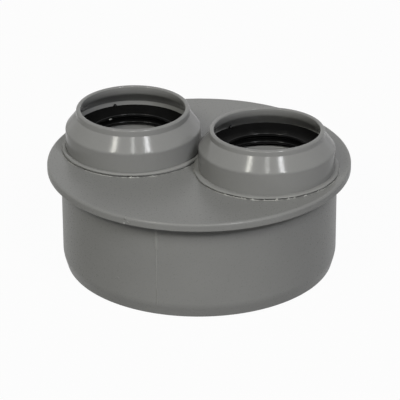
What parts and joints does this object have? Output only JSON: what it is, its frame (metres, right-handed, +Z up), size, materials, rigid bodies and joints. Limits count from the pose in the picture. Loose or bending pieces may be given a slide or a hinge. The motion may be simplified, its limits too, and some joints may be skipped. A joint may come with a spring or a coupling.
{
  "type": "pvc reducing plug",
  "caption": "Flanged plug that closes a wide pipe socket and carries upright push-fit sockets with rubber seal rings for narrower pipes.",
  "frame": {"origin": "centre of the spigot's lower rim", "axes": "+Z up along the spigot and out of the socket mouths, X through the axes of both sockets"},
  "size_m": [0.121, 0.121, 0.0604],
  "materials": {
    "grey_pvc": "smooth moulded, slight sheen",
    "black_rubber": "smooth, slight sheen"
  },
  "bodies": {
    "root": {"plug_body": "grey_pvc", "left_socket": "grey_pvc", "right_socket": "grey_pvc", "left_seal": "black_rubber", "right_seal": "black_rubber"}
  },
  "joints": []
}
